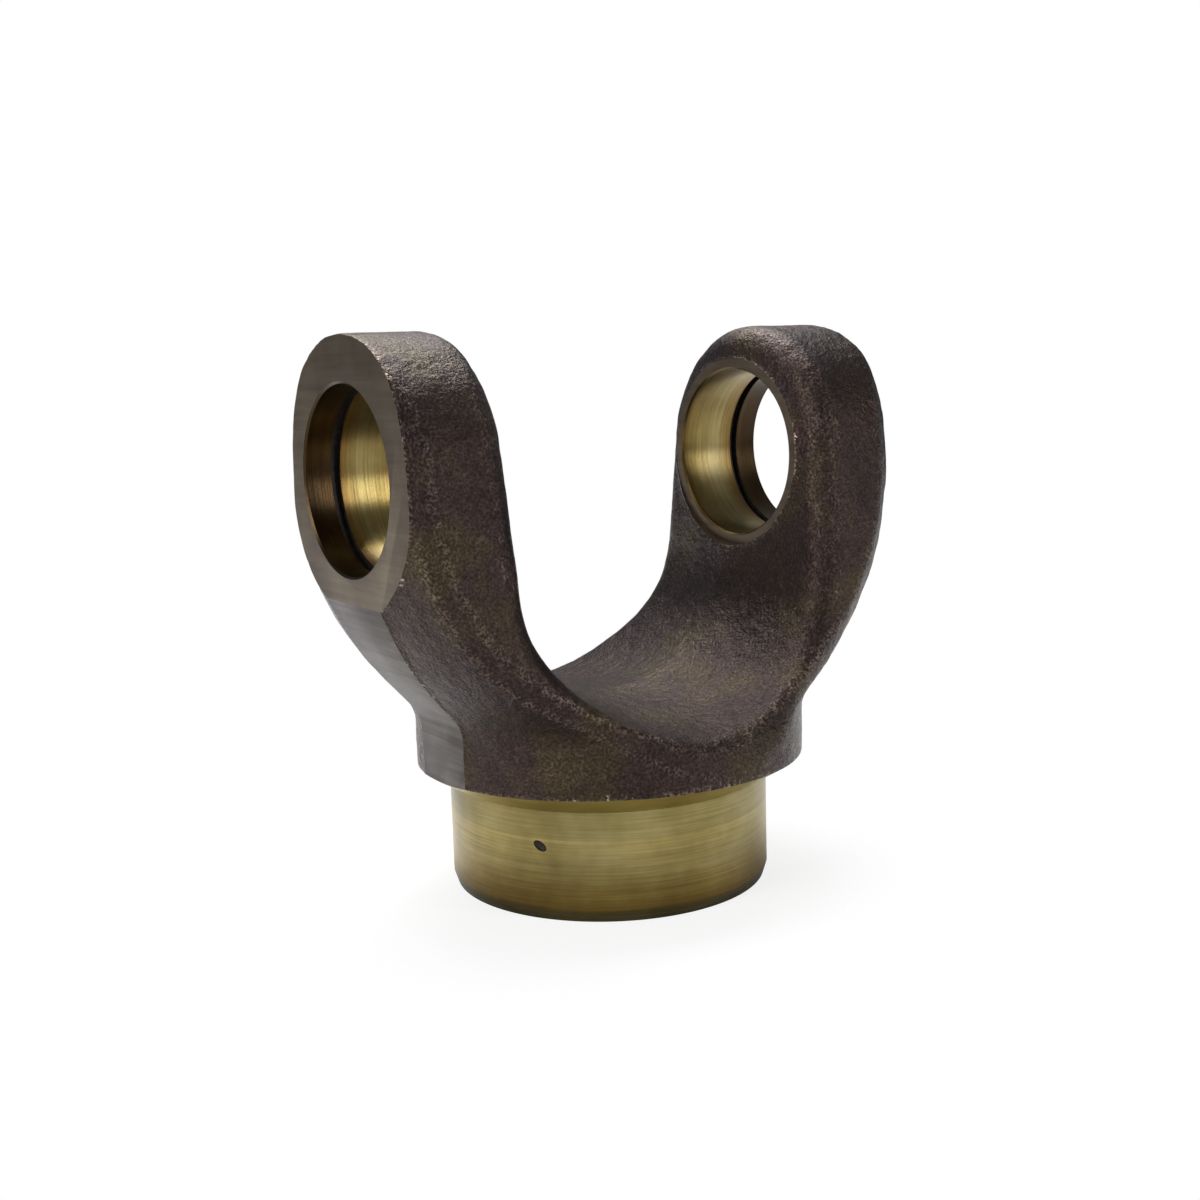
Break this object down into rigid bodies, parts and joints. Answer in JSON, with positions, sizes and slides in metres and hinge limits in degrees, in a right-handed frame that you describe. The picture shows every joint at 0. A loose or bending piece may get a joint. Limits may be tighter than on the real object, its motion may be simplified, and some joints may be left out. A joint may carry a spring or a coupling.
{
  "type": "weld yoke",
  "caption": "Forged two-ear yoke for a drive shaft joint, with ring-grooved cross bores, trimmed legs, a round shoulder and a turned weld hub.",
  "frame": {"origin": "on the hub's axis, in the plane of the hub's end face; the forged outline stands 0.65 mm to the -Y side of this axis, as its parting plane does", "axes": "+X along the cross bores, +Z along the hub's axis from the hub's end towards the ears, +Y across the ears"},
  "size_m": [0.086, 0.0611, 0.0858],
  "materials": {
    "forged_steel": "dark forging scale, with machined olive-gold bores, ear faces and hub"
  },
  "bodies": {
    "root": {"yoke": "forged_steel"}
  },
  "joints": []
}
